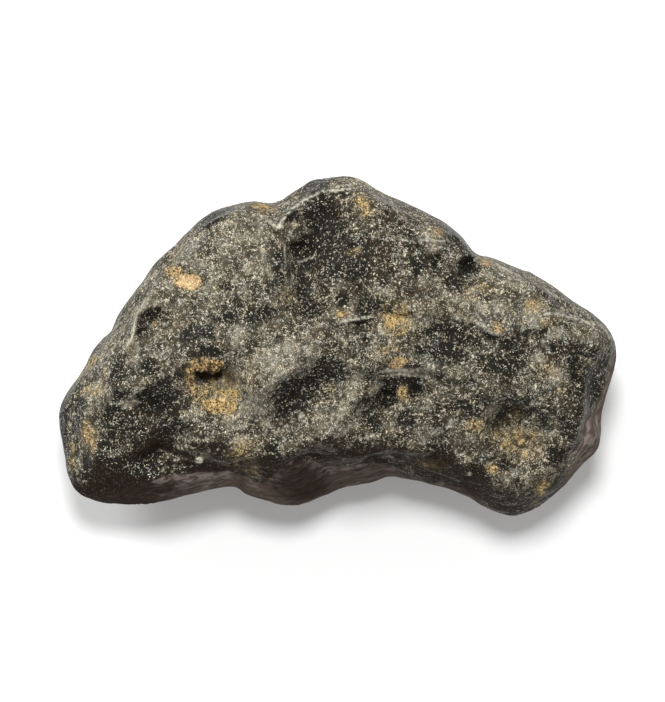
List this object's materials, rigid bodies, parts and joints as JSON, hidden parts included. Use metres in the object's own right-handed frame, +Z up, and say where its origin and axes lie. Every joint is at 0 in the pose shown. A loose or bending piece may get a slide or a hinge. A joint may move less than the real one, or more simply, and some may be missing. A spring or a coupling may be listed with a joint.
{
  "type": "lunar meteorite",
  "caption": "Whole stony meteorite: an irregular dark lump with a humped back edge, worn pits, a valley and ridges on its face, and a flat worn underside.",
  "frame": {"origin": "under the middle of the stone's box, on the surface that it rests on", "axes": "+X along the stone's length, +Y across it towards its humped edge, +Z up out of its pitted face"},
  "size_m": [0.062, 0.0378, 0.0245],
  "materials": {
    "meteorite_stone": "dark desert-worn rock, satin where bare, with pale dust specks and tan soil in its pits"
  },
  "bodies": {
    "root": {"stone": "meteorite_stone"}
  },
  "joints": []
}
